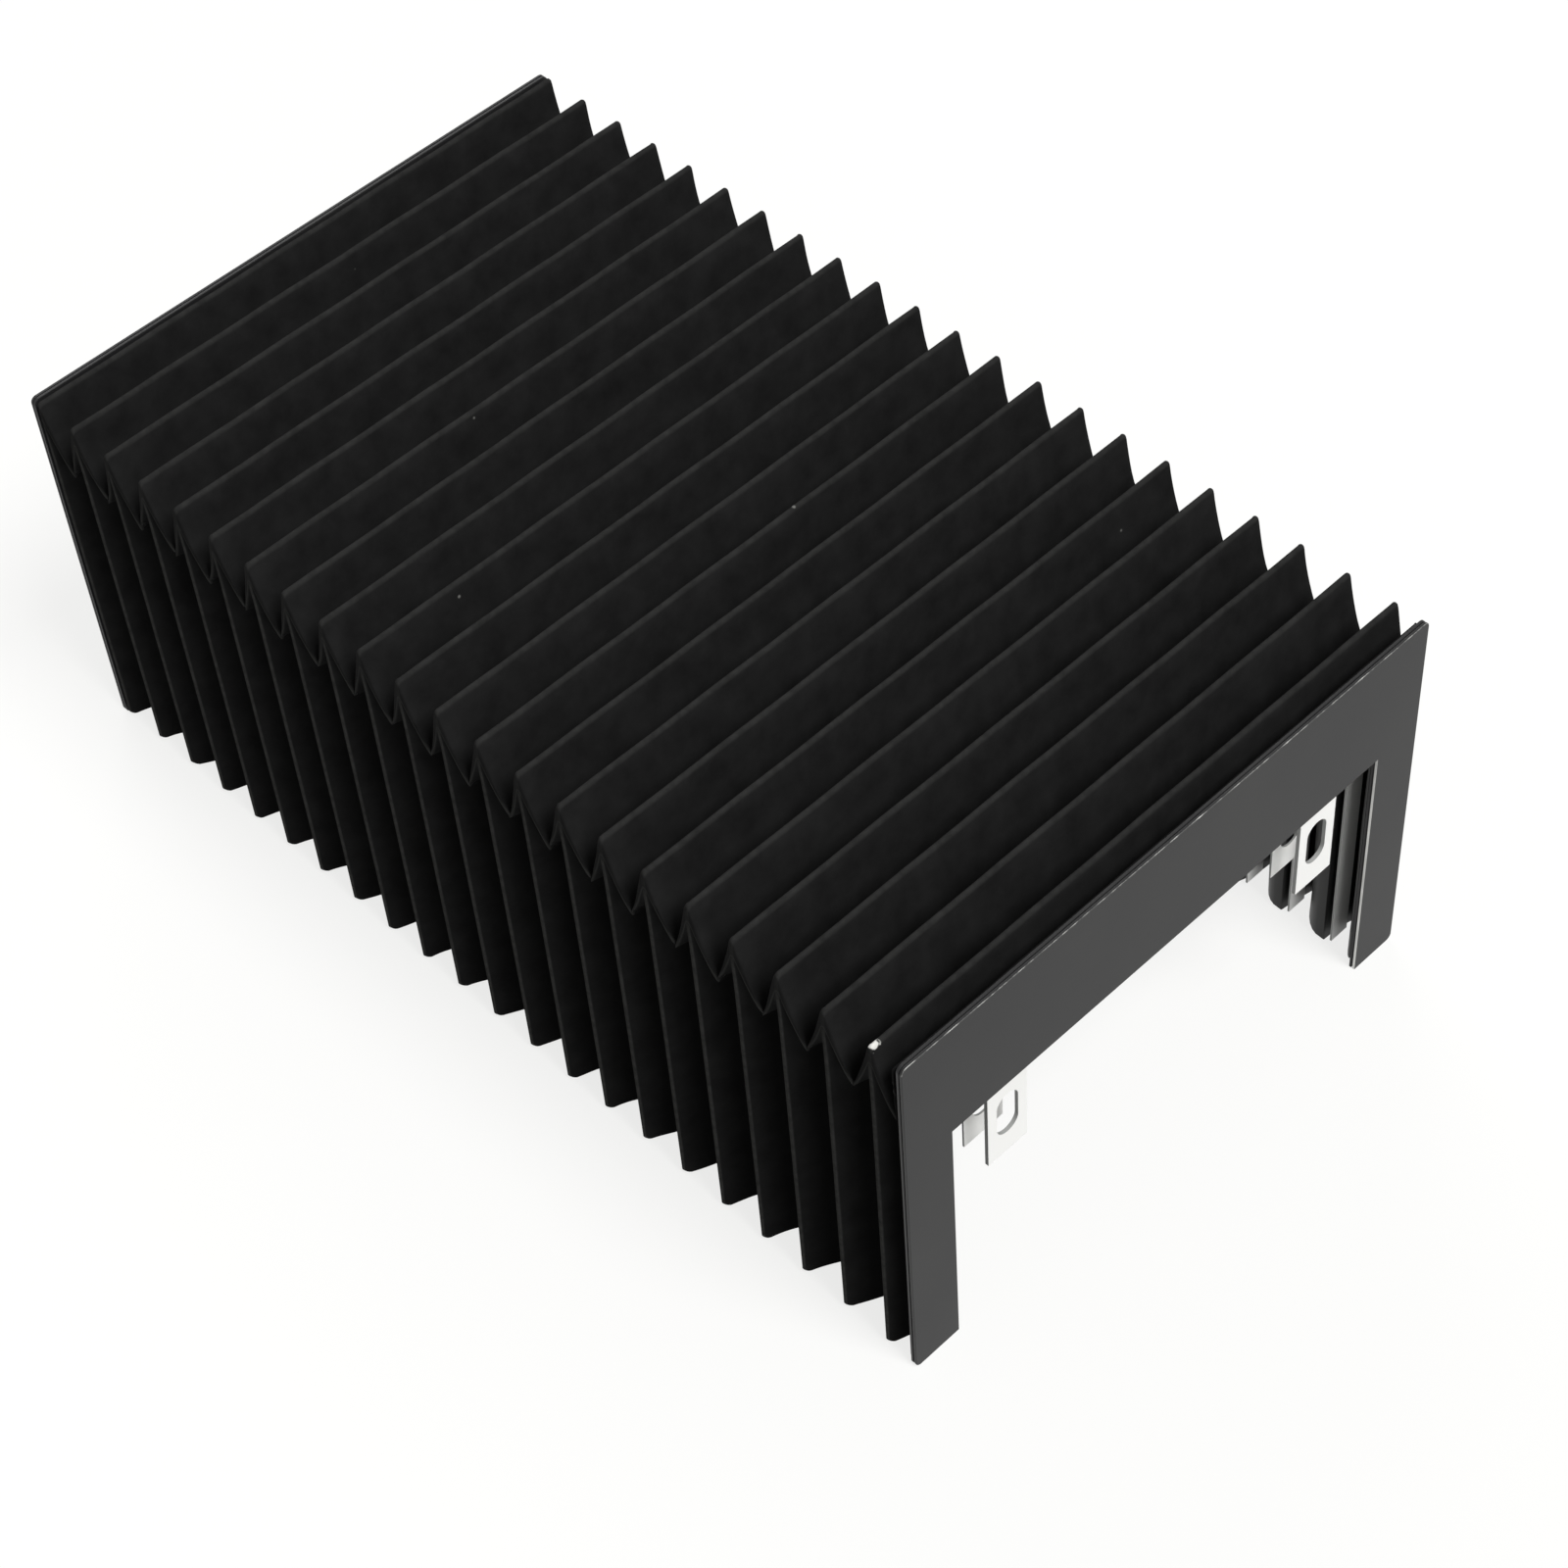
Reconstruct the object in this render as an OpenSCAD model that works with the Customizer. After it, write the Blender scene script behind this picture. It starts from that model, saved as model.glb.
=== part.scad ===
// Bellows way cover: a tunnel of pleated black cloth between two U-shaped end plates.
// Inside each fold lies a white plastic stiffener with two guide ears that hang into the tunnel.
// X runs along the travel with the front plate at +X, Y runs across, Z is up.
// The origin is under the middle of the cover, on the surface that the plates stand on.

/* [Cover] */
// Width across the folds and the end plates
cover_w = 200; // [180:1:320]
// Height from the plates' feet to the top of the folds
cover_h = 135; // [125:1:220]
// Number of outer ridges along the cover
fold_count = 22; // [6:1:40]
// Distance from ridge to ridge as the cover stands
fold_pitch = 16; // [14:0.5:20]
// Distance from ridge to ridge with the cover pushed shut
closed_pitch = 4; // [3.5:0.5:6]
// Distance from the front plate's face back to the nearest ridge
front_gap = 11; // [9:0.5:14]

/* [Cloth] */
// Thickness of the coated cloth
cloth_t = 0.6; // [0.4:0.1:0.9]
// Depth of the folds over the top
top_fold = 24; // [20:1:30]
// Depth of the folds down the two sides
side_fold = 14.5; // [12:0.5:16]
// Radius of the ridges' upper corners
ridge_corner = 2.5; // [2:0.5:5]
// Distance below the top at which a corner crease leaves the ridge
crease_drop = 6.5; // [6.5:0.5:10]
// Distance below the top valley over which a side fold reaches its full depth
corner_tuck = 9; // [6:1:14]
// Height of the cloth's lower hem above the plates' feet
hem_lift = 0.6; // [0.4:0.1:2]

/* [End plates] */
// Thickness of the front and rear plates
plate_t = 2; // [1.5:0.5:4]
// Width of each plate's legs
plate_leg = 16.6; // [16.6:0.1:24]
// Height of each plate's upper bar
plate_bar = 42; // [36:1:50]
// Radius of the plates' outer corners
plate_corner = 2; // [1:0.5:4]
// Thickness of the white backing behind each plate
backing_t = 1.2; // [0.8:0.1:2]
// Margin by which a backing stays inside its plate's outline
backing_margin = 3; // [1.5:0.5:5]

/* [Stiffeners] */
// Thickness of the white stiffener sheet
stiffener_t = 0.6; // [0.4:0.1:0.7]
// Height of a stiffener's bar under the ridge
stiffener_bar = 16.5; // [12:0.5:18]
// Width of a stiffener's legs down the two sides
stiffener_leg = 7; // [4:0.5:8]
// Height of the legs' lower ends above the plates' feet
stiffener_foot = 2; // [1.5:0.5:8]

/* [Guide ears] */
// Width of an ear
ear_w = 14.7; // [12:0.1:20]
// Distance from the plate's leg inwards to an ear
ear_inset = 14.7; // [8:0.1:20]
// Length of ear that shows below the plate's bar
ear_drop = 33; // [26:1:40]
// Width of the guide slot
slot_w = 8; // [5:0.5:9]
// Height of the guide slot
slot_h = 16.5; // [10:0.5:18]
// Height of the slot's middle above the ear's lower edge
slot_rise = 16.5; // [12:0.5:20]

/* [Hidden] */
$fn = 48;

// The sharp outer edge of a ridge stands this far above the middle of the cloth.
ridge_miter = 3;
ridge_over = ridge_miter * cloth_t / 2;

// Places along X, from the rear face forwards.
cover_l = plate_t + backing_t + cloth_t / 2 + (fold_count - 1) * fold_pitch + front_gap;
rear_x = -cover_l / 2;
front_x = cover_l / 2;
rear_backing_x = rear_x + plate_t;
first_ridge_x = rear_backing_x + backing_t + cloth_t / 2;
last_ridge_x = front_x - front_gap;
front_backing_x = front_x - plate_t - backing_t;
front_flange_x = front_backing_x - cloth_t / 2;

// Profile of one fold from ridge to ridge: share of the pitch, and share of the fold's depth.
// The face towards the front is hollow, the face towards the rear is shorter and straighter.
valley_share = 0.58;
fold_profile = [[0, 0], [0.09, 0.2], [0.21, 0.45], [0.38, 0.76], [valley_share, 1], [0.68, 0.82], [0.82, 0.48]];
flange_rear_edge = 0.9;
flange_front_edge = 0.1;

// Section of the cloth across the cover: ridge line and valley line as pairs of [y, z] points.
ridge_y = cover_w / 2 - ridge_over;
ridge_z = cover_h - ridge_over;
valley_y = cover_w / 2 - side_fold;
valley_z = cover_h - top_fold;
tip_y = cover_w / 2 - 2 * cloth_t;
tuck_z = valley_z - corner_tuck;
crease_z = cover_h - crease_drop;
tip_share = 0.25;
arc_mid = ridge_corner * (1 - cos(45));
half_section = [
    [[-ridge_y, hem_lift], [-valley_y, hem_lift]],
    [[-ridge_y, tuck_z], [-valley_y, tuck_z]],
    [[-ridge_y, (tuck_z + crease_z) / 2], between([-tip_y, valley_z], [-valley_y, tuck_z], tip_share)],
    [[-ridge_y, crease_z], [-tip_y, valley_z]],
    [[-ridge_y, ridge_z - ridge_corner], [-tip_y + ridge_corner / 5, valley_z]],
    [[-ridge_y + arc_mid, ridge_z - arc_mid], [-tip_y + ridge_corner / 2, valley_z]],
    [[-ridge_y + ridge_corner, ridge_z], [-tip_y + ridge_corner, valley_z]]
];
section = concat(half_section, [for (i = [len(half_section) - 1 : -1 : 0]) mirrored(half_section[i])]);

// Stations along the cloth: place along X, share of the fold's depth, and miter of the edge there.
stations = concat(
    [[first_ridge_x, flange_rear_edge, 1]],
    [
        for (fold = [1 : fold_count - 1], p = fold_profile)
            [ridge_x(fold) + p[0] * fold_pitch, p[1], p[1] == 0 ? ridge_miter : 1]
    ],
    [[last_ridge_x, 0, ridge_miter]],
    [
        for (p = fold_profile)
            if (p[0] > 0 && p[0] < valley_share)
                [last_ridge_x + p[0] / valley_share * (front_flange_x - last_ridge_x), p[1], 1]
    ],
    [[front_flange_x, 1, 1], [front_flange_x, flange_front_edge, 1]]
);

// A stiffener reaches up into its fold as far as the shut cover leaves room for its thickness.
seat_gap = stiffener_t / 2 * fold_pitch / closed_pitch + cloth_t / 2 * 1.2;
seat_share = seat_gap / fold_pitch * fold_profile[1][1] / fold_profile[1][0];
stiffener_top = ridge_z - seat_share * (ridge_z - valley_z);
stiffener_y = ridge_y - seat_share * (ridge_y - valley_y);
leg_y = valley_y + cloth_t / 2;

// Guide ears and their slots.
ear_y = cover_w / 2 - plate_leg - ear_inset - ear_w / 2;
ear_z = cover_h - plate_bar - ear_drop;
slot_z = ear_z + slot_rise;

function between(a, b, share) = a + (b - a) * share;
function mirrored(pair) = [[-pair[0][0], pair[0][1]], [-pair[1][0], pair[1][1]]];
function ridge_x(fold) = first_ridge_x + (fold - 1) * fold_pitch;
function stiffener_name(fold) = str("stiffener_", fold < 10 ? "0" : "", fold);
function unit(v) = v / norm(v);

// Point of the cloth's middle surface at one station and one place across the section.
function cloth_point(i, j) =
    let (at = between(section[j][0], section[j][1], stations[i][1]))
    [stations[i][0], at[0], at[1]];

// Direction along a row of points, halfway between the edges that meet at point k.
function along(row, k) =
    k == 0 ? unit(row[1] - row[0])
    : k == len(row) - 1 ? unit(row[k] - row[k - 1])
    : unit(unit(row[k + 1] - row[k]) + unit(row[k] - row[k - 1]));

// The rear plate and the front plate share one U-shaped outline.
module u_outline(margin) {
    difference() {
        rounded_rectangle(cover_w / 2 - margin, 0, cover_h - margin, plate_corner);
        translate([-cover_w / 2 + plate_leg - margin, -1])
            square([cover_w - 2 * plate_leg + 2 * margin, cover_h - plate_bar + 1]);
    }
}

module rounded_rectangle(half_w, low, high, r) {
    translate([-half_w + r, low])
        square([2 * half_w - 2 * r, high - low]);
    translate([-half_w, low + r])
        square([2 * half_w, high - low - 2 * r]);
    for (y = [-half_w + r, half_w - r], z = [low + r, high - r])
        translate([y, z])
            circle(r);
}

// One pair of guide ears, from the bar above down to their lower edge.
module ears(top_z) {
    for (side = [-1, 1])
        difference() {
            translate([side * ear_y - ear_w / 2, ear_z])
                square([ear_w, top_z - ear_z]);
            translate([side * ear_y - slot_w / 2, slot_z - (slot_h - slot_w) / 2])
                square([slot_w, slot_h - slot_w]);
            for (end = [-1, 1])
                translate([side * ear_y, slot_z + end * (slot_h - slot_w) / 2])
                    circle(d = slot_w);
        }
}

// Stands a flat outline up across the cover, with its rear face at x.
module sheet(x, thickness) {
    translate([x, 0, 0])
        rotate([90, 0, 90])
            linear_extrude(thickness)
                children();
}

module plate(x) {
    color("#4a4a4a")
        sheet(x, plate_t)
            u_outline(0);
}

module backing(x) {
    color("#f4f4f2")
        sheet(x, backing_t) {
            u_outline(backing_margin);
            ears(cover_h - plate_bar + plate_corner);
        }
}

module rear_plate() {
    plate(rear_x);
}

module front_plate() {
    plate(front_x - plate_t);
}

module rear_backing() {
    backing(rear_backing_x);
}

module front_backing() {
    backing(front_backing_x);
}

// A flat frame under the ridge: a bar with a leg down each side, and the two ears.
module stiffener(fold) {
    color("#f4f4f2")
        sheet(ridge_x(fold) - stiffener_t / 2, stiffener_t) {
            translate([-stiffener_y, stiffener_top - stiffener_bar])
                square([2 * stiffener_y, stiffener_bar]);
            for (y = [-leg_y - stiffener_leg, leg_y])
                translate([y, stiffener_foot])
                    square([stiffener_leg, stiffener_top - stiffener_bar / 2 - stiffener_foot]);
            ears(stiffener_top - stiffener_bar / 2);
        }
}

// The pleated cloth is one sheet of even thickness, closed along its hems and end flanges.
module bellows_skin() {
    rows = len(stations);
    columns = len(section);
    middle = [for (i = [0 : rows - 1]) [for (j = [0 : columns - 1]) cloth_point(i, j)]];
    turned = [for (j = [0 : columns - 1]) [for (i = [0 : rows - 1]) middle[i][j]]];
    lift = [
        for (i = [0 : rows - 1], j = [0 : columns - 1])
            unit(cross(along(turned[j], i), along(middle[i], j))) * stations[i][2] * cloth_t / 2
    ];
    flat = [for (row = middle, p = row) p];
    count = rows * columns;
    outer = [for (k = [0 : count - 1]) flat[k] + lift[k]];
    inner = [for (k = [0 : count - 1]) flat[k] - lift[k]];
    quads = concat(
        [
            for (i = [0 : rows - 2], j = [0 : columns - 2])
                let (k = i * columns + j)
                [k, k + 1, k + columns + 1, k + columns]
        ],
        [
            for (i = [0 : rows - 2], j = [0 : columns - 2])
                let (k = count + i * columns + j)
                [k, k + columns, k + columns + 1, k + 1]
        ],
        [
            for (i = [0 : rows - 2])
                let (k = i * columns)
                [k, k + columns, count + k + columns, count + k]
        ],
        [
            for (i = [0 : rows - 2])
                let (k = i * columns + columns - 1)
                [k + columns, k, count + k, count + k + columns]
        ],
        [
            for (j = [0 : columns - 2])
                [j + 1, j, count + j, count + j + 1]
        ],
        [
            for (j = [0 : columns - 2])
                let (k = (rows - 1) * columns + j)
                [k, k + 1, count + k + 1, count + k]
        ]
    );
    color("#161616")
        polyhedron(
            points = concat(outer, inner),
            faces = [for (q = quads, half = [[0, 1, 2], [0, 2, 3]]) [for (h = half) q[h]]]
        );
}

rear_plate();
rear_backing();
bellows_skin();
for (fold = [2 : fold_count])
    stiffener(fold);
front_backing();
front_plate();
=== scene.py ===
"""Bellows way cover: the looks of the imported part, in metres, in the part's own frame."""
import math

import bpy
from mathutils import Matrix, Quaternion, Vector


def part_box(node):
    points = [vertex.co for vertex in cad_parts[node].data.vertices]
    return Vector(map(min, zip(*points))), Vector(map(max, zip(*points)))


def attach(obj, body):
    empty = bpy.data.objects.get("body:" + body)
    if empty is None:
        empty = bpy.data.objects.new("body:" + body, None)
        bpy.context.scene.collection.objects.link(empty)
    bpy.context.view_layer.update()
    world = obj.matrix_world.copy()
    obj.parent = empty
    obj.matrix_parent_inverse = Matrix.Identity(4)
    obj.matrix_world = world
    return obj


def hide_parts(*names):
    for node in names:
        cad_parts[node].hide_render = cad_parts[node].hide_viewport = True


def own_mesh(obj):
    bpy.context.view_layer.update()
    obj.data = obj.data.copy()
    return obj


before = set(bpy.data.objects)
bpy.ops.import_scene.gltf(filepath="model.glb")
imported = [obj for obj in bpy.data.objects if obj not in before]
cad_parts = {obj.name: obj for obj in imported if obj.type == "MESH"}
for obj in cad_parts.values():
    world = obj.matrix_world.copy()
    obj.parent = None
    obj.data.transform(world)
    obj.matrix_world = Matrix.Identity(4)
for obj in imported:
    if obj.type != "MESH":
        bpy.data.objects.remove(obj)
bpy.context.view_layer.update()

# Camera: it stands in front of the cover, to its left and well above it, and leans a little
# to the right. Place, aim, lean and lens put the cover's corners where the photograph has them.
mm = 0.001
camera_place = Vector((525.3, -431.7, 802.9)) * mm
camera_aim = Vector((31.6, -4.7, 45.3)) * mm
camera_lean = math.radians(-4.97)
camera_lens_mm = 78.98
camera_data = bpy.data.cameras.new("camera")
camera_data.lens = camera_lens_mm
camera = bpy.data.objects.new("camera", camera_data)
bpy.context.scene.collection.objects.link(camera)
camera.location = camera_place
camera_turn = (camera_aim - camera_place).to_track_quat("-Z", "Y")
camera.rotation_euler = (camera_turn @ Quaternion((0, 0, 1), camera_lean)).to_euler()
bpy.context.scene.camera = camera
bpy.context.scene.view_settings.view_transform = "Standard"


# Floor and light: a white paper floor that runs out of sight, a large soft lamp above, weaker ones
# in front and behind, and an even room light. The floor is white to the eye and in a gloss, keeps
# part of the cover's shadow, and throws little light up, so the sides stay darker than the top.
def linear(hex_colour):
    """Turns an sRGB hex colour into the linear colour that a shader socket takes."""
    channels = [int(hex_colour[i:i + 2], 16) / 255 for i in (1, 3, 5)]
    lit = [c / 12.92 if c <= 0.04045 else ((c + 0.055) / 1.055) ** 2.4 for c in channels]
    return (*lit, 1.0)


def add_node(tree, kind, sockets=None, **settings):
    """Adds one node, sets its properties, and fills its sockets with values or links."""
    made = tree.nodes.new(kind)
    for name, value in settings.items():
        setattr(made, name, value)
    for name, value in (sockets or {}).items():
        if isinstance(value, bpy.types.NodeSocket):
            tree.links.new(value, made.inputs[name])
        else:
            made.inputs[name].default_value = value
    return made


def seen_share(tree):
    """Gives 1 to rays from the eye, a gloss or a clear piece, and 0 to all other light."""
    light_path = add_node(tree, "ShaderNodeLightPath")
    seen_or_mirrored = add_node(tree, "ShaderNodeMath", {
        0: light_path.outputs["Is Camera Ray"],
        1: light_path.outputs["Is Glossy Ray"],
    }, operation="MAXIMUM")
    seen_at_all = add_node(tree, "ShaderNodeMath", {
        0: seen_or_mirrored.outputs["Value"],
        1: light_path.outputs["Is Transmission Ray"],
    }, operation="MAXIMUM")
    return seen_at_all.outputs["Value"]


floor_size = 12.0
bpy.ops.object.select_all(action="DESELECT")
bpy.ops.mesh.primitive_plane_add(size=floor_size)
floor = bpy.context.object
floor.name = "paper_floor"

paper = bpy.data.materials.new("white_paper")
paper.use_nodes = True
tree = paper.node_tree
tree.nodes.clear()
paper_white = linear("#f0f0ee")
paper_thrown = linear("#7c7c7a")
seen_white = linear("#fefefd")
shown_share = 0.8
paper_seen = seen_share(tree)
glow_share = add_node(tree, "ShaderNodeMath", {
    0: paper_seen,
    1: shown_share,
}, operation="MULTIPLY")
paper_colour = add_node(tree, "ShaderNodeMix", {
    "Factor": paper_seen,
    6: paper_thrown,
    7: paper_white,
}, data_type="RGBA")
lit_paper = add_node(tree, "ShaderNodeBsdfDiffuse", {"Color": paper_colour.outputs[2]})
shown_paper = add_node(tree, "ShaderNodeEmission", {"Color": seen_white, "Strength": 1.0})
paper_mix = add_node(tree, "ShaderNodeMixShader", {
    "Fac": glow_share.outputs["Value"],
    1: lit_paper.outputs["BSDF"],
    2: shown_paper.outputs["Emission"],
})
add_node(tree, "ShaderNodeOutputMaterial", {"Surface": paper_mix.outputs["Shader"]})
floor.data.materials.append(paper)

sky_strength = 0.26
world = bpy.data.worlds.new("white_room")
bpy.context.scene.world = world
world.use_nodes = True
tree = world.node_tree
tree.nodes.clear()
room_light = add_node(tree, "ShaderNodeBackground", {
    "Color": linear("#ffffff"),
    "Strength": sky_strength,
})
room_shown = add_node(tree, "ShaderNodeBackground", {"Color": seen_white, "Strength": 1.0})
room_mix = add_node(tree, "ShaderNodeMixShader", {
    "Fac": seen_share(tree),
    1: room_light.outputs["Background"],
    2: room_shown.outputs["Background"],
})
add_node(tree, "ShaderNodeOutputWorld", {"Surface": room_mix.outputs["Shader"]})

for lamp_name, lamp_place, lamp_strength, lamp_spread in (
    ("top_lamp", Vector((1.0, 0.1, 1.55)), 3.05, 24),
    ("front_lamp", Vector((0.94, -0.32, 0.2)), 0.75, 30),
    ("back_lamp", Vector((-0.9, 0.5, 0.6)), 1.0, 40),
):
    lamp_data = bpy.data.lights.new(lamp_name, "SUN")
    lamp_data.energy = lamp_strength
    lamp_data.angle = math.radians(lamp_spread)
    lamp = bpy.data.objects.new(lamp_name, lamp_data)
    bpy.context.scene.collection.objects.link(lamp)
    lamp.location = lamp_place
    lamp.rotation_euler = (-lamp_place).to_track_quat("-Z", "Y").to_euler()


# Rear plate: a U-shaped end plate of painted steel that stands on its two legs. It is two sheets
# cut to one outline and glued face to face, so a fine dark joint runs round its edge.
plate_low, plate_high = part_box("rear_plate")
plate_leg = 16.6 * mm
plate_bar = 42 * mm
plate_corner = 2 * mm
plate_corner_steps = 8
joint_half = 0.16 * mm
joint_depth = 0.5 * mm
edge_round = 0.4 * mm
edge_round_steps = 3
plate_t = plate_high.x - plate_low.x
plate_mid_x = (plate_low.x + plate_high.x) / 2
opening_half = plate_high.y - plate_leg
opening_top = plate_high.z - plate_bar

# Satin powder coat on steel: a fine orange-peel skin, near black, with a soft sheen.
coat = bpy.data.materials.new("satin_powder_coat")
coat.use_nodes = True
tree = coat.node_tree
coat_shader = tree.nodes["Principled BSDF"]
coat_place = add_node(tree, "ShaderNodeTexCoord")
cloud_mm = 45
peel_mm = 0.9
coat_cloud = add_node(tree, "ShaderNodeTexNoise", {
    "Vector": coat_place.outputs["Object"],
    "Scale": 1 / (cloud_mm * mm),
    "Detail": 3.0,
})
coat_tone = add_node(tree, "ShaderNodeValToRGB", {"Fac": coat_cloud.outputs["Fac"]})
coat_tone.color_ramp.elements[0].position = 0.3
coat_tone.color_ramp.elements[0].color = linear("#202021")
coat_tone.color_ramp.elements[1].position = 0.7
coat_tone.color_ramp.elements[1].color = linear("#272727")
coat_peel = add_node(tree, "ShaderNodeTexNoise", {
    "Vector": coat_place.outputs["Object"],
    "Scale": 1 / (peel_mm * mm),
    "Detail": 2.0,
})
coat_bump = add_node(tree, "ShaderNodeBump", {
    "Height": coat_peel.outputs["Fac"],
    "Strength": 0.25,
    "Distance": 0.05 * mm,
})
tree.links.new(coat_tone.outputs["Color"], coat_shader.inputs["Base Color"])
tree.links.new(coat_bump.outputs["Normal"], coat_shader.inputs["Normal"])
coat_shader.inputs["Roughness"].default_value = 0.42
coat_shader.inputs["IOR"].default_value = 1.5
coat_shader.inputs["Specular IOR Level"].default_value = 0.17

# The bar is cut at the opening's two sides and its outer ends are drawn down into the legs. Then
# the outline's corners are rounded and the joint is sunk. Faces and edges are told apart by how
# straight they look along an axis and by how near they lie to the plate's sides.
straight_on = 0.9
near_side = 0.1 * mm
bar_mid_z = (plate_high.z + opening_top) / 2
bpy.ops.object.select_all(action="DESELECT")
bpy.ops.mesh.primitive_cube_add(size=1, location=(plate_mid_x, 0, bar_mid_z))
rear_plate = bpy.context.object
rear_plate.name = "rear_plate_painted"
rear_plate.scale = (plate_t, plate_high.y - plate_low.y, plate_bar)
bpy.ops.object.transform_apply(location=True, rotation=True, scale=True)
bpy.ops.object.mode_set(mode="EDIT")
for cut_y in (-opening_half, opening_half):
    bpy.ops.mesh.select_all(action="SELECT")
    bpy.ops.mesh.bisect(plane_co=(0, cut_y, 0), plane_no=(0, 1, 0))
bpy.ops.mesh.select_mode(type="FACE")
bpy.ops.mesh.select_all(action="DESELECT")
bpy.ops.object.mode_set(mode="OBJECT")
for face in rear_plate.data.polygons:
    face.select = face.normal.z < -straight_on and abs(face.center.y) > opening_half
bpy.ops.object.mode_set(mode="EDIT")
leg_run = (0, 0, plate_low.z - opening_top)
bpy.ops.mesh.extrude_region_move(TRANSFORM_OT_translate={"value": leg_run})
bpy.ops.mesh.select_mode(type="EDGE")
bpy.ops.mesh.select_all(action="DESELECT")
bpy.ops.object.mode_set(mode="OBJECT")
for edge in rear_plate.data.edges:
    ends = [rear_plate.data.vertices[v].co for v in edge.vertices]
    runs_through = abs(ends[0].x - ends[1].x) > plate_t / 2
    at_side = all(abs(abs(end.y) - plate_high.y) < near_side for end in ends)
    at_top = all(abs(end.z - plate_high.z) < near_side for end in ends)
    at_foot = all(abs(end.z - plate_low.z) < near_side for end in ends)
    edge.select = runs_through and at_side and (at_top or at_foot)
bpy.ops.object.mode_set(mode="EDIT")
bpy.ops.mesh.bevel(offset=plate_corner, segments=plate_corner_steps, affect="EDGES")
for joint_side in (-1, 1):
    bpy.ops.mesh.select_all(action="SELECT")
    joint_x = plate_mid_x + joint_side * joint_half
    bpy.ops.mesh.bisect(plane_co=(joint_x, 0, 0), plane_no=(1, 0, 0))
bpy.ops.mesh.select_mode(type="FACE")
bpy.ops.mesh.select_all(action="DESELECT")
bpy.ops.object.mode_set(mode="OBJECT")
for face in rear_plate.data.polygons:
    across_edge = abs(face.normal.x) < 1 - straight_on
    face.select = across_edge and abs(face.center.x - plate_mid_x) < joint_half
bpy.ops.object.mode_set(mode="EDIT")
bpy.ops.mesh.extrude_region_shrink_fatten(TRANSFORM_OT_shrink_fatten={"value": -joint_depth})
bpy.ops.object.mode_set(mode="OBJECT")

# The faces take the first material and the rounded edges the second, so a copy's edges can take
# another coat.
face_slot, edge_slot = 0, 1
rear_plate.data.materials.append(coat)
rear_plate.data.materials.append(coat)
rounding = rear_plate.modifiers.new("edge_round", "BEVEL")
rounding.width = edge_round
rounding.segments = edge_round_steps
rounding.limit_method = "ANGLE"
rounding.angle_limit = math.radians(40)
rounding.material = edge_slot
bpy.ops.object.modifier_apply(modifier=rounding.name)
bpy.ops.object.shade_smooth_by_angle(angle=math.radians(35))
flat_faces = rear_plate.modifiers.new("flat_faces", "WEIGHTED_NORMAL")
flat_faces.keep_sharp = True
bpy.ops.object.modifier_apply(modifier=flat_faces.name)

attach(rear_plate, "base")
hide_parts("rear_plate")

# White sheets: the two backings and the stiffeners in the folds are punched from rigid white PVC.
# Their faces are smooth and a little glossy; the punched edges, facing sideways, get a painted grey
# shade.
white_pvc = bpy.data.materials.new("rigid_white_pvc")
white_pvc.use_nodes = True
tree = white_pvc.node_tree
pvc_shader = tree.nodes["Principled BSDF"]
pvc_place = add_node(tree, "ShaderNodeTexCoord")
pvc_cloud_mm = 18
pvc_cloud = add_node(tree, "ShaderNodeTexNoise", {
    "Vector": pvc_place.outputs["Object"],
    "Scale": 1 / (pvc_cloud_mm * mm),
    "Detail": 3.0,
})
pvc_face = add_node(tree, "ShaderNodeMix", {
    "Factor": pvc_cloud.outputs["Fac"],
    6: linear("#f7f7f5"),
    7: linear("#efefec"),
}, data_type="RGBA")
pvc_facing = add_node(tree, "ShaderNodeNewGeometry")
pvc_facing_axes = add_node(tree, "ShaderNodeSeparateXYZ", {
    "Vector": pvc_facing.outputs["True Normal"],
})
pvc_unshaded_share = add_node(tree, "ShaderNodeMath", {
    0: pvc_facing_axes.outputs["X"],
}, operation="ABSOLUTE")
# Painted shade: faces turned away from X, the punched edges, take grey in place of the white.
pvc_colour_with_edge_shade = add_node(tree, "ShaderNodeMix", {
    "Factor": pvc_unshaded_share.outputs["Value"],
    6: linear("#a4a5a3"),
    7: pvc_face.outputs[2],
}, data_type="RGBA")
tree.links.new(pvc_colour_with_edge_shade.outputs[2], pvc_shader.inputs["Base Color"])
pvc_shader.inputs["Roughness"].default_value = 0.38
pvc_shader.inputs["IOR"].default_value = 1.53
stiffener_names = sorted(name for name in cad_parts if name.startswith("stiffener_"))
for name in ("rear_backing", *stiffener_names, "front_backing"):
    sheet_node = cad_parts[name]
    sheet_node.data.materials.clear()
    sheet_node.data.materials.append(white_pvc)

# Bellows skin: one sheet of black PVC-coated polyester, heat-set in sharp pleats over the top and
# down both sides, with a flat flange glued to each end plate. Each ridge holds a stiffener.
cloth_t = 0.6 * mm
skin_low, skin_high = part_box("bellows_skin")
ridge_xs = [sum(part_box(name)[k].x for k in (0, 1)) / 2 for name in stiffener_names]
fold_pitch = ridge_xs[1] - ridge_xs[0]
rear_flange_x = skin_low.x + cloth_t / 2
front_flange_x = skin_high.x - cloth_t / 2
ridge_xs.insert(0, rear_flange_x)
top_fold = 24 * mm
side_fold = 14.5 * mm
tuck_height = 9 * mm
crease_drop = 6.5 * mm
ridge_corner = 1.1 * mm
ridge_y = skin_high.y - cloth_t / 2
ridge_z = skin_high.z - cloth_t / 2
valley_y = skin_high.y - side_fold
valley_z = skin_high.z - top_fold
tip_y = skin_high.y - 2 * cloth_t
tuck_z = valley_z - tuck_height
crease_z = skin_high.z - crease_drop
hem_z = skin_low.z

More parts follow.
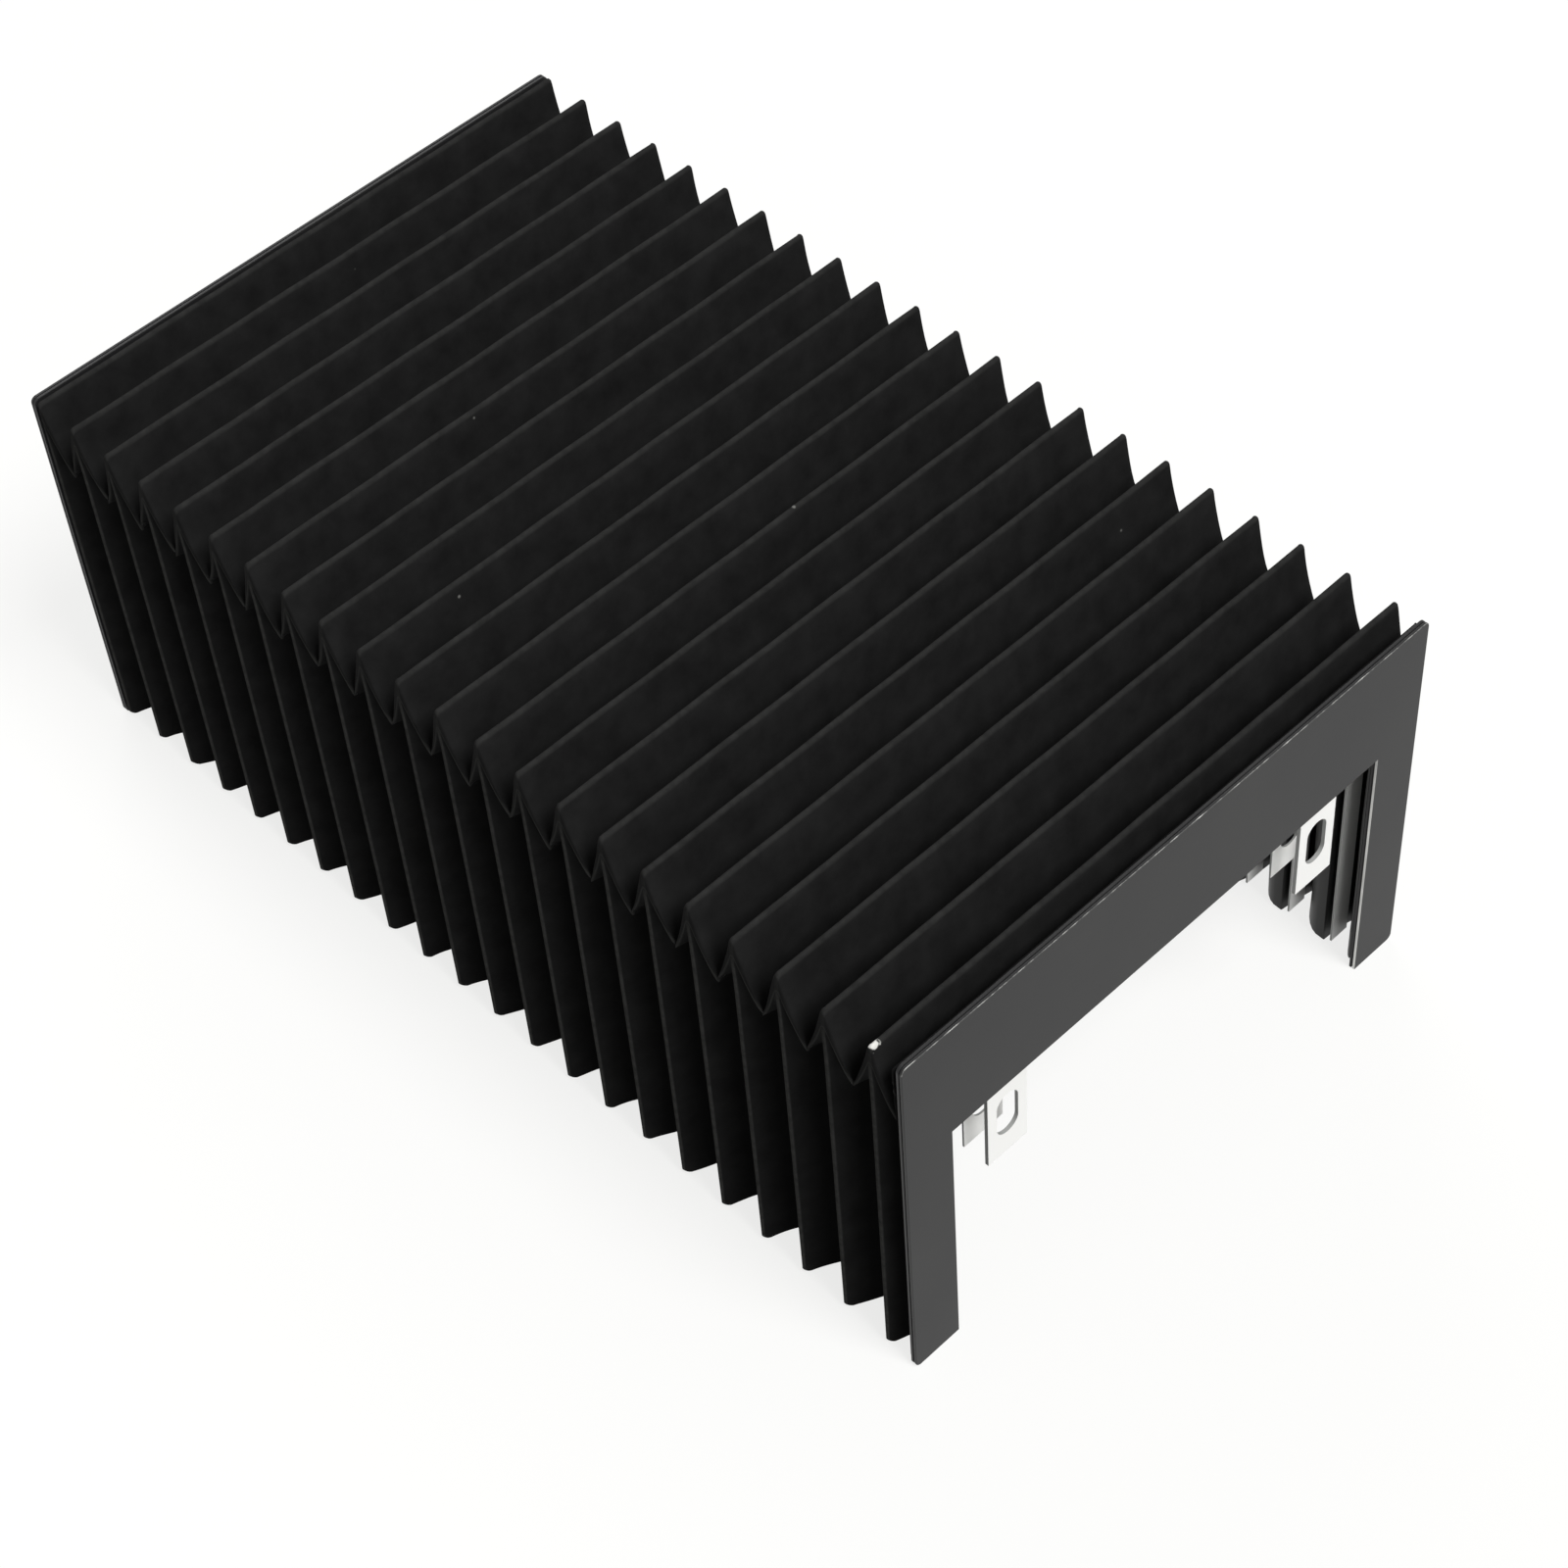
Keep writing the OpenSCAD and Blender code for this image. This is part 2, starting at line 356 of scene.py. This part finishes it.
# Across the cover, each place on the section is a pair: its point on a ridge and its point in a
# valley. From the hem it runs up the side, through the corner tuck to the tip, and over the top.
tuck_swell = 0.8
tip_start = 0.1
half_section = []
side_steps = 10
for k in range(side_steps):
    z = hem_z + (tuck_z - hem_z) * k / side_steps
    half_section.append(((ridge_y, z), (valley_y, z)))
tuck_steps = 8
for k in range(tuck_steps + 1):
    share = k / tuck_steps
    turn = share * math.pi / 2
    in_y = tip_y - (tip_y - valley_y) * math.cos(turn) ** tuck_swell
    half_section.append((
        (ridge_y, tuck_z + (crease_z - tuck_z) * share),
        (in_y, tuck_z + (valley_z - tuck_z) * share),
    ))
tip_row = len(half_section) - 1
corner_steps = 7
for k in range(corner_steps + 1):
    turn = k / corner_steps * math.pi / 2
    corner_y = ridge_y - ridge_corner * (1 - math.cos(turn))
    corner_z = ridge_z - ridge_corner * (1 - math.sin(turn))
    in_y = tip_y - ridge_corner * (tip_start + (1 - tip_start) * k / corner_steps)
    half_section.append(((corner_y, corner_z), (in_y, valley_z)))
top_steps = 9
top_edge = ridge_y - ridge_corner
for k in range(1, top_steps + 1):
    share = 1 - k / top_steps
    half_section.append(((top_edge * share, ridge_z), ((tip_y - ridge_corner) * share, valley_z)))
section = half_section + [((-a[0], a[1]), (-b[0], b[1])) for a, b in reversed(half_section[:-1])]

# Along the cover, each station is its place along X on the left and on the right, and a share of
# the fold's depth. The face towards the front is hollow and the ridge is a tight round crease. The
# folds lean a little: on the right their valleys lie nearer to the next ridge than on the left.
left_valley = 0.52
right_valley = 0.84
left_bow = 1.4
right_bow = 2.6
rear_bow = 1.15
crease_half = 0.4 * mm
crease_share = crease_half / top_fold
crease_angles = (-75, -40, 0, 40, 75)
flange_share = 0.9
flank_shares = (0.04, 0.075, 0.12, 0.19, 0.28, 0.39, 0.51, 0.63, 0.75, 0.86, 0.94, 0.985)


def reach(share, bow):
    """Share of a hollow face's run, from its ridge, at which that share of the depth is reached."""
    return 1 - (1 - share) ** (1 / bow)


stations = []
flange_steps = 6
for k in range(flange_steps):
    share = flange_share + (2 * crease_share - flange_share) * k / (flange_steps - 1)
    stations.append((rear_flange_x, rear_flange_x, share, 0))
for fold, x in enumerate(ridge_xs):
    last = fold == len(ridge_xs) - 1
    if last:
        runs = [front_flange_x - x, front_flange_x - x]
        bows = [left_bow, left_bow]
    else:
        runs = [fold_pitch * left_valley, fold_pitch * right_valley]
        bows = [left_bow, right_bow]
    for angle in crease_angles:
        if fold == 0 and angle < 0:
            continue
        turn = math.radians(angle)
        crease_x = x + crease_half * math.sin(turn)
        stations.append((crease_x, crease_x, crease_share * (1 - math.cos(turn)), fold))
    for share in flank_shares:
        ahead = [(run - crease_half) * reach(share, bow) for run, bow in zip(runs, bows)]
        stations.append((*(x + crease_half + step for step in ahead), share, fold))
    if not last:
        stations.append((x + runs[0], x + runs[1], 1.0, fold))
        for share in reversed(flank_shares):
            next_x = x + fold_pitch
            back = [(fold_pitch - run - crease_half) * reach(share, rear_bow) for run in runs]
            stations.append((*(next_x - crease_half - step for step in back), share, fold + 1))
last_fold = len(ridge_xs)
for k in range(flange_steps):
    share = 1.0 - flange_share * k / (flange_steps - 1)
    stations.append((front_flange_x, front_flange_x, share, last_fold))

# No two folds are set quite alike: faces sway, ridges sag between the corners, and the corner
# creases and the hems lie a little higher or lower from fold to fold. A wave turns by so many
# radians in a metre of the cover, the hem's in a fold's depth, and by one step from fold to fold.
columns = len(section)
last_column = columns - 1
sway_size = 0.3 * mm
sway_across, sway_across_step = 90, 2.3
sway_down, sway_down_step = 110, 4.1
sag_size = 0.12 * mm
sag_across, sag_step = 150, 1.7
tip_stray, tip_step = 0.9 * mm, 2.9
hem_stray, hem_step = 0.35 * mm, 7.7
hem_turn = 5
hem_round = 1.4 * mm
hem_round_share = 0.12
points = []
for left_x, right_x, share, fold in stations:
    loose = 4 * share * (1 - share) if 0 < fold < last_fold else 0
    for j, (on_ridge, in_valley) in enumerate(section):
        y = on_ridge[0] + (in_valley[0] - on_ridge[0]) * share
        z = on_ridge[1] + (in_valley[1] - on_ridge[1]) * share
        from_hem = min(j, last_column - j)
        side = -1 if y < 0 else 1
        x = left_x + (right_x - left_x) * (1 + on_ridge[0] / ridge_y) / 2
        sway = math.sin(sway_across * y + sway_across_step * fold)
        sway += math.sin(sway_down * z + sway_down_step * fold)
        sag = 1 + math.sin(sag_across * y + sag_step * fold) if abs(y) < top_edge else 0
        near_tip = max(0.0, 1 - abs(from_hem - tip_row) / tuck_steps)
        z -= sag_size * sag * (1 - share)
        z += tip_stray * math.sin(tip_step * fold + side) * near_tip * share
        if from_hem == 0:
            z += hem_round * max(0.0, 1 - share / hem_round_share) ** 2
            z += hem_stray * (1 + math.sin(hem_step * fold + hem_turn * share + side))
        points.append((x + sway_size * sway * loose, y, z))

# Distances over the cloth, in millimetres: from the nearest ridge and from the corner creases. On
# the sides the ridges' pale lines, partly rub wear and partly a painted highlight, are narrower and
# stronger than on the top. The flat map holds the places on the cloth as it lay before it was
# folded, in metres.
# Strength of the ridges' pale line on the top and on the sides: partly rub wear, partly painted
# highlight.
top_rub_and_highlight = 0.55
side_rub_and_highlight = 1.6
side_line = 1.8
far_mm = 50.0
ridge_rows = [i for i, station in enumerate(stations) if station[2] == 0]
ridge_mm = [far_mm] * len(points)
rub_and_highlight_share = [0.0] * len(points)
flat_along = [0.0] * len(points)
for j in range(columns):
    walked = [0.0]
    for i in range(1, len(stations)):
        here = i * columns + j
        walked.append(walked[-1] + math.dist(points[here - columns], points[here]))
    for i, station in enumerate(stations):
        here = i * columns + j
        fold = station[3]
        if fold < last_fold:
            on_side = min(j, last_column - j) < tip_row
            from_ridge_mm = abs(walked[i] - walked[ridge_rows[fold]]) / mm
            ridge_mm[here] = from_ridge_mm * (side_line if on_side else 1.0)
            rub_and_highlight_share[here] = side_rub_and_highlight if on_side else top_rub_and_highlight
        flat_along[here] = walked[i]
corner_mm = []
flat_places = []
for i in range(len(stations)):
    across = [0.0]
    for j in range(1, columns):
        here = i * columns + j
        across.append(across[-1] + math.dist(points[here - 1], points[here]))
    for j in range(columns):
        from_left = abs(across[j] - across[tip_row])
        from_right = abs(across[j] - across[last_column - tip_row])
        corner_mm.append(min(from_left, from_right) / mm)
        flat_places.append((across[j], flat_along[i * columns + j]))

quads = [
    (i * columns + j, i * columns + j + 1, (i + 1) * columns + j + 1, (i + 1) * columns + j)
    for i in range(len(stations) - 1)
    for j in range(columns - 1)
]
skin_mesh = bpy.data.meshes.new("bellows_skin_cloth")
skin_mesh.from_pydata(points, [], quads)
for name, values in (
    ("ridge_mm", ridge_mm),
    ("rub_and_highlight_share", rub_and_highlight_share),
    ("corner_mm", corner_mm),
):
    layer = skin_mesh.attributes.new(name, "FLOAT", "POINT")
    layer.data.foreach_set("value", values)
rest_place = skin_mesh.attributes.new("rest_place", "FLOAT_VECTOR", "POINT")
rest_place.data.foreach_set("vector", [value for point in points for value in point])
flat_map = skin_mesh.uv_layers.new(name="cloth_flat")
for loop in skin_mesh.loops:
    flat_map.data[loop.index].uv = flat_places[loop.vertex_index]
skin = bpy.data.objects.new("bellows_skin_cloth", skin_mesh)
bpy.context.scene.collection.objects.link(skin)

# Black PVC coat on a polyester weave: matt and slightly mottled outside, with a few specks of dust.
# Its ridges carry pale lines, partly rub wear and partly a painted highlight, and its corner
# creases a thin painted highlight. The weave is drawn at 1.1 mm, coarser than it is, so that it
# shows.
outer_cloth = bpy.data.materials.new("matt_black_coated_polyester")
outer_cloth.use_nodes = True
tree = outer_cloth.node_tree
cloth_shader = tree.nodes["Principled BSDF"]
cloth_place = add_node(tree, "ShaderNodeTexCoord")
from_ridge = add_node(tree, "ShaderNodeAttribute", attribute_name="ridge_mm")
rub_and_highlight_by_place = add_node(tree, "ShaderNodeAttribute", attribute_name="rub_and_highlight_share")
from_corner = add_node(tree, "ShaderNodeAttribute", attribute_name="corner_mm")
mottle_mm = 9
mottle = add_node(tree, "ShaderNodeTexNoise", {
    "Vector": cloth_place.outputs["Object"],
    "Scale": 1 / (mottle_mm * mm),
    "Detail": 5.0,
    "Roughness": 0.6,
})
cloth_tone = add_node(tree, "ShaderNodeValToRGB", {"Fac": mottle.outputs["Fac"]})
cloth_tone.color_ramp.elements[0].position = 0.3
cloth_tone.color_ramp.elements[0].color = linear("#181818")
cloth_tone.color_ramp.elements[1].position = 0.72
cloth_tone.color_ramp.elements[1].color = linear("#212121")
# Pale band along each ridge, in patches: partly rub wear, partly a painted highlight.
ridge_line_patch_mm = 2.5
ridge_line_core_mm = 0.6
ridge_line_end_mm = 1.5
ridge_line_patch_noise = add_node(tree, "ShaderNodeTexNoise", {
    "Vector": cloth_place.outputs["Object"],
    "Scale": 1 / (ridge_line_patch_mm * mm),
    "Detail": 3.0,
})
ridge_line_band = add_node(tree, "ShaderNodeMapRange", {
    "Value": from_ridge.outputs["Fac"],
    "From Min": ridge_line_core_mm,
    "From Max": ridge_line_end_mm,
    "To Min": 1.0,
    "To Max": 0.0,
}, interpolation_type="SMOOTHSTEP")
ridge_line_patches = add_node(tree, "ShaderNodeMath", {
    0: ridge_line_patch_noise.outputs["Fac"],
    1: rub_and_highlight_by_place.outputs["Fac"],
}, operation="MULTIPLY", use_clamp=True)
rub_and_highlight_amount = add_node(tree, "ShaderNodeMath", {
    0: ridge_line_band.outputs["Result"],
    1: ridge_line_patches.outputs["Value"],
}, operation="MULTIPLY")
# Painted highlight: a thin pale line along the corner creases.
corner_highlight_mm = 1.0
corner_highlight_pale = 0.75
corner_highlight_line = add_node(tree, "ShaderNodeMapRange", {
    "Value": from_corner.outputs["Fac"],
    "From Min": 0.0,
    "From Max": corner_highlight_mm,
    "To Min": corner_highlight_pale,
    "To Max": 0.0,
}, interpolation_type="SMOOTHSTEP")
pale_amount = add_node(tree, "ShaderNodeMath", {
    0: rub_and_highlight_amount.outputs["Value"],
    1: corner_highlight_line.outputs["Result"],
}, operation="MAXIMUM")
ridge_and_crease_lines_tone = add_node(tree, "ShaderNodeMix", {
    "Factor": pale_amount.outputs["Value"],
    6: cloth_tone.outputs["Color"],
    7: linear("#3a3a39"),
}, data_type="RGBA")
dust_gap_mm = 38
dust_speck_mm = 0.7
dust_pale = 0.5
dust_points = add_node(tree, "ShaderNodeTexVoronoi", {
    "Vector": cloth_place.outputs["Object"],
    "Scale": 1 / (dust_gap_mm * mm),
})
dust_amount = add_node(tree, "ShaderNodeMapRange", {
    "Value": dust_points.outputs["Distance"],
    "From Min": 0.5 * dust_speck_mm / dust_gap_mm,
    "From Max": dust_speck_mm / dust_gap_mm,
    "To Min": dust_pale,
    "To Max": 0.0,
}, interpolation_type="SMOOTHSTEP")
dusty_tone = add_node(tree, "ShaderNodeMix", {
    "Factor": dust_amount.outputs["Result"],
    6: ridge_and_crease_lines_tone.outputs[2],
    7: linear("#8a8a86"),
}, data_type="RGBA")

# At one corner of the front ridge the cloth is painted near white, in a ragged spot. The distance
# from its middle is multiplied by a noise of about a half, so the spot ends at about its radius, a
# fifth more or less.
pale_spot_inwards = 1.3 * mm
pale_spot_down = 0.2 * mm
pale_spot_place = (ridge_xs[-1], pale_spot_inwards - ridge_y, ridge_z - pale_spot_down)
pale_spot_radius = 1.25 * mm
pale_spot_core = 0.4 * pale_spot_radius
pale_spot_end = 0.6 * pale_spot_radius
pale_spot_edge_mm = 1.3
at_rest = add_node(tree, "ShaderNodeAttribute", attribute_name="rest_place")
from_pale_spot = add_node(tree, "ShaderNodeVectorMath", {
    0: at_rest.outputs["Vector"],
    1: pale_spot_place,
}, operation="DISTANCE")
pale_spot_edge_noise = add_node(tree, "ShaderNodeTexNoise", {
    "Vector": at_rest.outputs["Vector"],
    "Scale": 1 / (pale_spot_edge_mm * mm),
    "Detail": 3.0,
})
pale_spot_ragged = add_node(tree, "ShaderNodeMath", {
    0: from_pale_spot.outputs["Value"],
    1: pale_spot_edge_noise.outputs["Fac"],
}, operation="MULTIPLY")
pale_spot_amount = add_node(tree, "ShaderNodeMapRange", {
    "Value": pale_spot_ragged.outputs["Value"],
    "From Min": pale_spot_core,
    "From Max": pale_spot_end,
    "To Min": 1.0,
    "To Max": 0.0,
}, interpolation_type="SMOOTHSTEP")
cloth_colour = add_node(tree, "ShaderNodeMix", {
    "Factor": pale_spot_amount.outputs["Result"],
    6: dusty_tone.outputs[2],
    7: linear("#d2d2cd"),
}, data_type="RGBA")
weave_mm = 1.1
weave = add_node(tree, "ShaderNodeTexNoise", {
    "Vector": cloth_place.outputs["Object"],
    "Scale": 1 / (weave_mm * mm),
    "Detail": 2.0,
})
cloth_bump = add_node(tree, "ShaderNodeBump", {
    "Height": weave.outputs["Fac"],
    "Strength": 0.3,
    "Distance": 0.1 * mm,
})
tree.links.new(cloth_colour.outputs[2], cloth_shader.inputs["Base Color"])
tree.links.new(cloth_bump.outputs["Normal"], cloth_shader.inputs["Normal"])
cloth_shader.inputs["Roughness"].default_value = 0.9
cloth_shader.inputs["IOR"].default_value = 1.45
cloth_shader.inputs["Specular IOR Level"].default_value = 0.03

# The inner side carries the smooth face of the coat: black and glossy, so folds catch the light.
inner_cloth = bpy.data.materials.new("glossy_black_pvc_coat")
inner_cloth.use_nodes = True
tree = inner_cloth.node_tree
inner_shader = tree.nodes["Principled BSDF"]
inner_place = add_node(tree, "ShaderNodeTexCoord")
inner_cloud_mm = 6
inner_noise = add_node(tree, "ShaderNodeTexNoise", {
    "Vector": inner_place.outputs["Object"],
    "Scale": 1 / (inner_cloud_mm * mm),
    "Detail": 3.0,
})
inner_tone = add_node(tree, "ShaderNodeValToRGB", {"Fac": inner_noise.outputs["Fac"]})
inner_tone.color_ramp.elements[0].color = linear("#141414")
inner_tone.color_ramp.elements[1].color = linear("#1f1f1f")
tree.links.new(inner_tone.outputs["Color"], inner_shader.inputs["Base Color"])
inner_shader.inputs["Roughness"].default_value = 0.4
inner_shader.inputs["IOR"].default_value = 1.53
inner_shader.inputs["Specular IOR Level"].default_value = 0.12

skin.data.materials.append(outer_cloth)
skin.data.materials.append(inner_cloth)
bpy.ops.object.select_all(action="DESELECT")
skin.select_set(True)
bpy.context.view_layer.objects.active = skin
thickness = skin.modifiers.new("cloth_thickness", "SOLIDIFY")
thickness.thickness = cloth_t
thickness.offset = 0
thickness.material_offset = 1
bpy.ops.object.modifier_apply(modifier=thickness.name)
bpy.ops.object.shade_smooth_by_angle(angle=math.radians(50))
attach(skin, "base")
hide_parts("bellows_skin")
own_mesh(skin)

# Front plate: the twin of the rear plate, glued to the cover's front flange over its white backing.
# It is the plate that the hand pushes, so the sides of its opening have rubbed bare along the way.
# The front arris of its top edge is paler.
front_low, front_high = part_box("front_plate")
front_mid_x = (front_low.x + front_high.x) / 2
front_plate = rear_plate.copy()
front_plate.data = rear_plate.data.copy()
front_plate.name = "front_plate_painted"
bpy.context.scene.collection.objects.link(front_plate)
for vertex in front_plate.data.vertices:
    vertex.co.x += front_low.x - plate_low.x

# The same coat, paler and rougher, along the top edge in broken stretches.
pale_arris_coat = bpy.data.materials.new("pale_arris_powder_coat")
pale_arris_coat.use_nodes = True
tree = pale_arris_coat.node_tree
pale_arris_shader = tree.nodes["Principled BSDF"]
pale_arris_place = add_node(tree, "ShaderNodeTexCoord")
pale_arris_mm = 5
pale_arris_noise = add_node(tree, "ShaderNodeTexNoise", {
    "Vector": pale_arris_place.outputs["Object"],
    "Scale": 1 / (pale_arris_mm * mm),
    "Detail": 4.0,
})
pale_arris_tone = add_node(tree, "ShaderNodeValToRGB", {"Fac": pale_arris_noise.outputs["Fac"]})
pale_arris_tone.color_ramp.elements[0].position = 0.46
pale_arris_tone.color_ramp.elements[0].color = linear("#3e3e3d")
pale_arris_tone.color_ramp.elements[1].position = 0.74
pale_arris_tone.color_ramp.elements[1].color = linear("#d0d0cc")
tree.links.new(pale_arris_tone.outputs["Color"], pale_arris_shader.inputs["Base Color"])
pale_arris_shader.inputs["Roughness"].default_value = 0.5
pale_arris_shader.inputs["IOR"].default_value = 1.5

# Bare steel where the coat has gone: pale grey with a dull shine.
bare_steel = bpy.data.materials.new("rubbed_bare_steel")
bare_steel.use_nodes = True
tree = bare_steel.node_tree
steel_shader = tree.nodes["Principled BSDF"]
steel_place = add_node(tree, "ShaderNodeTexCoord")
steel_mm = 8
steel_noise = add_node(tree, "ShaderNodeTexNoise", {
    "Vector": steel_place.outputs["Object"],
    "Scale": 1 / (steel_mm * mm),
    "Detail": 3.0,
})
steel_tone = add_node(tree, "ShaderNodeValToRGB", {"Fac": steel_noise.outputs["Fac"]})
steel_tone.color_ramp.elements[0].position = 0.3
steel_tone.color_ramp.elements[0].color = linear("#b2b2b0")
steel_tone.color_ramp.elements[1].position = 0.7
steel_tone.color_ramp.elements[1].color = linear("#cacac7")
tree.links.new(steel_tone.outputs["Color"], steel_shader.inputs["Base Color"])
steel_shader.inputs["Metallic"].default_value = 1.0
steel_shader.inputs["Roughness"].default_value = 0.45

# The steel shows on the opening's two sides, in front of the joint. The paler coat stays on the top
# edge's front arris, and every other rounded edge takes the plain coat again.
bare_slot = 2
turned_in = 0.5
front_plate.data.materials[edge_slot] = pale_arris_coat
front_plate.data.materials.append(bare_steel)
for face in front_plate.data.polygons:
    from_opening = abs(face.center.y) - opening_half
    in_opening = abs(from_opening) < edge_round and face.center.z < opening_top
    on_front_sheet = face.center.x > front_mid_x + joint_half
    behind_arris = face.center.x < front_high.x - edge_round
    below_top = face.center.z < front_high.z - plate_corner
    if in_opening and on_front_sheet and abs(face.normal.y) > turned_in:
        face.material_index = bare_slot
    elif behind_arris or below_top:
        face.material_index = face_slot
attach(front_plate, "front_end")
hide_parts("front_plate")
